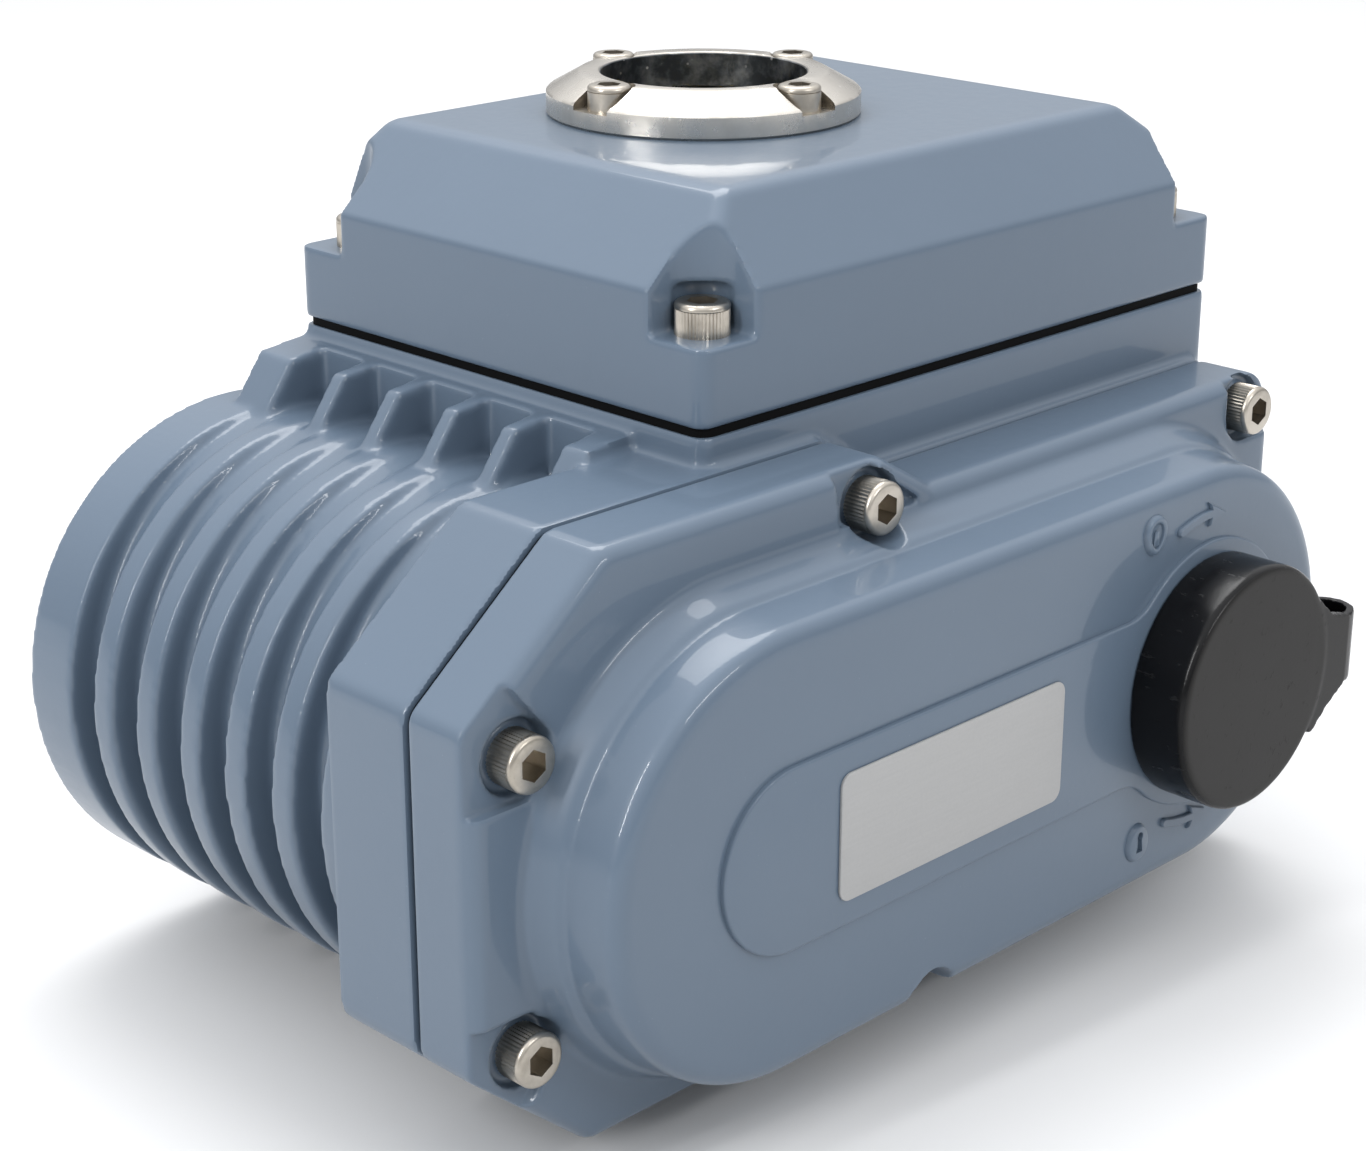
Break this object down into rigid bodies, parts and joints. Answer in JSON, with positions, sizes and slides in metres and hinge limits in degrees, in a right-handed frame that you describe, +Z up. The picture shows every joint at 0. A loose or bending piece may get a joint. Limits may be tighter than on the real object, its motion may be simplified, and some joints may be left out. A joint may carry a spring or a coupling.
{
  "type": "quarter-turn electric actuator",
  "caption": "Quarter-turn electric valve actuator: cast case with finned motor barrel, geared end cover, windowed top cover, worm drive and star drive socket.",
  "frame": {"origin": "centre of the bottom mounting face, on the output shaft's axis", "axes": "+Z up along the output shaft, +X along the end cover, -Y towards the end cover and the cap"},
  "size_m": [0.2392, 0.1746, 0.169],
  "materials": {
    "housing_paint": "glossy blue-grey enamel over cast aluminium",
    "stainless": "stainless socket screws, knurled heads",
    "ring_steel": "turned steel, satin",
    "ground_steel": "ground steel",
    "hardened_steel": "hardened and ground steel",
    "bronze": "machined bronze",
    "gear_steel": "passivated gear steel",
    "rubber_black": "black rubber, satin",
    "cap_black": "black moulded cap",
    "plate_silver": "brushed anodised plate",
    "window_clear": "clear",
    "deck_zinc": "zinc plated sheet",
    "core_steel": "laminated core",
    "copper": "lacquered copper winding",
    "cam_red": "red moulded cam",
    "cam_green": "green moulded cam",
    "disc_yellow": "yellow printed disc",
    "switch_black": "black moulded",
    "board_green": "circuit board",
    "spacer_nickel": "nickel plated brass",
    "terminal_green": "moulded terminal block",
    "capacitor_grey": "dark grey sleeve"
  },
  "bodies": {
    "housing": {"gear_housing": "housing_paint", "end_cover": "housing_paint", "top_cover": "housing_paint", "rear_bearing_cap": "housing_paint", "lid_seal": "rubber_black", "cover_gasket": "rubber_black", "window_seal": "rubber_black", "shaft_seal": "rubber_black", "output_seal": "rubber_black", "window_ring": "ring_steel", "stop_nuts": "ring_steel", "window_glass": "window_clear", "lid_screws": "stainless", "ring_screws": "stainless", "cover_screws": "stainless", "stop_screws": "stainless", "deck_screws": "stainless", "rear_cap_screws": "stainless", "shield_screws": "stainless", "nameplate": "plate_silver", "idler_pin": "ground_steel", "cluster_pin": "ground_steel", "worm_bearings": "ground_steel", "motor_bearings": "ground_steel", "output_bush": "bronze", "deck_bush": "bronze", "gear_deck": "deck_zinc", "motor_shield": "deck_zinc", "switch_bracket": "deck_zinc", "capacitor_clip": "deck_zinc", "motor_stator": "core_steel", "motor_coils": "copper", "open_switch": "switch_black", "close_switch": "switch_black", "cable_glands": "switch_black", "control_board": "board_green", "board_spacers": "spacer_nickel", "terminal_block": "terminal_green", "capacitor": "capacitor_grey"},
    "output": {"output_shaft": "ground_steel", "worm_wheel": "bronze", "wheel_key": "hardened_steel", "travel_stop": "hardened_steel", "open_cam": "cam_red", "close_cam": "cam_green", "indicator_disc": "disc_yellow"},
    "worm_drive": {"worm_shaft": "ground_steel", "worm": "hardened_steel", "worm_spacers": "deck_zinc", "worm_gear": "gear_steel"},
    "idler": {"idler_gear": "gear_steel"},
    "cluster": {"cluster_gear": "gear_steel"},
    "rotor": {"motor_rotor": "core_steel", "motor_shaft": "ground_steel", "motor_pinion": "hardened_steel"},
    "cap": {"manual_cap": "cap_black"},
    "open_lever": {"open_lever": "deck_zinc"},
    "close_lever": {"close_lever": "deck_zinc"}
  },
  "joints": [
    {"name": "output_turn", "type": "hinge", "parent": "housing", "child": "output", "pos_m": [0, 0, 0], "axis": [0, 0, 1], "range_deg": [0, 90]},
    {"name": "worm_turn", "type": "hinge", "parent": "housing", "child": "worm_drive", "pos_m": [0.038, 0, 0.0575], "axis": [0, 1, 0], "range_deg": [-2521, 1]},
    {"name": "idler_turn", "type": "hinge", "parent": "housing", "child": "idler", "pos_m": [-0.015, 0, 0.0575], "axis": [0, 1, 0], "range_deg": [-1, 3046]},
    {"name": "cluster_turn", "type": "hinge", "parent": "housing", "child": "cluster", "pos_m": [-0.047, 0, 0.0575], "axis": [0, 1, 0], "range_deg": [-9136, 1]},
    {"name": "rotor_turn", "type": "hinge", "parent": "housing", "child": "rotor", "pos_m": [-0.081, 0, 0.0575], "axis": [0, 1, 0], "range_deg": [-1, 35236]},
    {"name": "cap_pull", "type": "slide", "parent": "housing", "child": "cap", "axis": [0, -1, 0], "range_m": [0, 0.03]},
    {"name": "open_lever_press", "type": "hinge", "parent": "housing", "child": "open_lever", "pos_m": [-0.0192, -0.012, 0.103], "axis": [0, 0, 1], "range_deg": [0, 3]},
    {"name": "close_lever_press", "type": "hinge", "parent": "housing", "child": "close_lever", "pos_m": [-0.0192, -0.012, 0.115], "axis": [0, 0, 1], "range_deg": [0, 3]}
  ],
  "couplings": [
    {"joint": "worm_turn", "follows": "output_turn", "ratio": -28},
    {"joint": "idler_turn", "follows": "output_turn", "ratio": 33.833},
    {"joint": "cluster_turn", "follows": "output_turn", "ratio": -101.5},
    {"joint": "rotor_turn", "follows": "output_turn", "ratio": 391.5}
  ]
}
